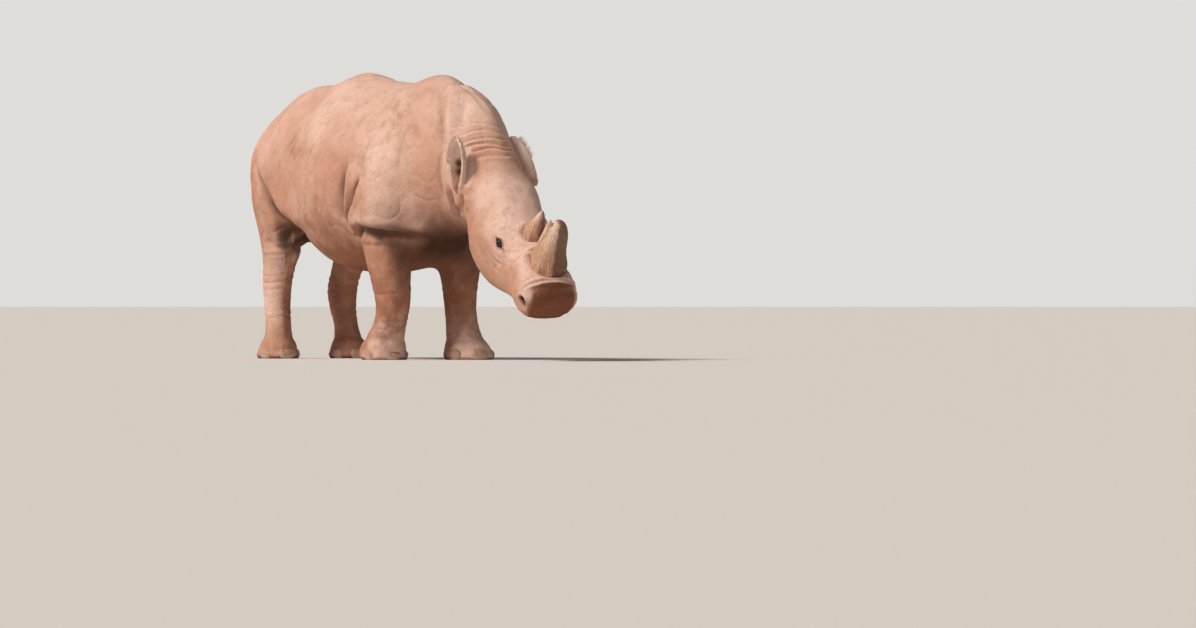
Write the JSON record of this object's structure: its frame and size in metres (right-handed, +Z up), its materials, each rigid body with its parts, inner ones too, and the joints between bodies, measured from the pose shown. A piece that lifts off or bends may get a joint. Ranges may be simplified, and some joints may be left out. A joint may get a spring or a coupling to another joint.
{
  "type": "white rhinoceros figure",
  "caption": "Young white rhinoceros, life size, walking slowly with its head carried low; broad square lips, two blunt horns and a thin tufted tail.",
  "frame": {"origin": "middle of the bottom face of the whole animal's box, at the level of the soles", "axes": "+X from tail to nose, +Y to the animal's left, +Z up"},
  "size_m": [2.9616, 0.776, 1.457],
  "materials": {
    "hide": "bare wrinkled hide under a dry film of pinkish red-brown mud",
    "horn": "fibrous horn, worn smooth and paler at the tip",
    "nail": "dull dusty toenail",
    "eye": "wet dark brown eye"
  },
  "bodies": {
    "root": {"ear_left": "hide", "ear_right": "hide", "eye_left": "eye", "eye_right": "eye", "forefoot_left": "hide", "forefoot_right": "hide", "foreleg_left_lower": "hide", "foreleg_left_upper": "hide", "foreleg_right_lower": "hide", "foreleg_right_upper": "hide", "head": "hide", "hindfoot_left": "hide", "hindfoot_right": "hide", "hindleg_left_lower": "hide", "hindleg_left_upper": "hide", "hindleg_right_lower": "hide", "hindleg_right_upper": "hide", "horn_front": "horn", "horn_rear": "horn", "lower_jaw": "hide", "nail_fore_left_1": "nail", "nail_fore_left_2": "nail", "nail_fore_left_3": "nail", "nail_fore_right_1": "nail", "nail_fore_right_2": "nail", "nail_fore_right_3": "nail", "nail_hind_left_1": "nail", "nail_hind_left_2": "nail", "nail_hind_left_3": "nail", "nail_hind_right_1": "nail", "nail_hind_right_2": "nail", "nail_hind_right_3": "nail", "neck": "hide", "shoulder_left": "hide", "shoulder_right": "hide", "tail": "hide", "trunk": "hide"}
  },
  "joints": []
}
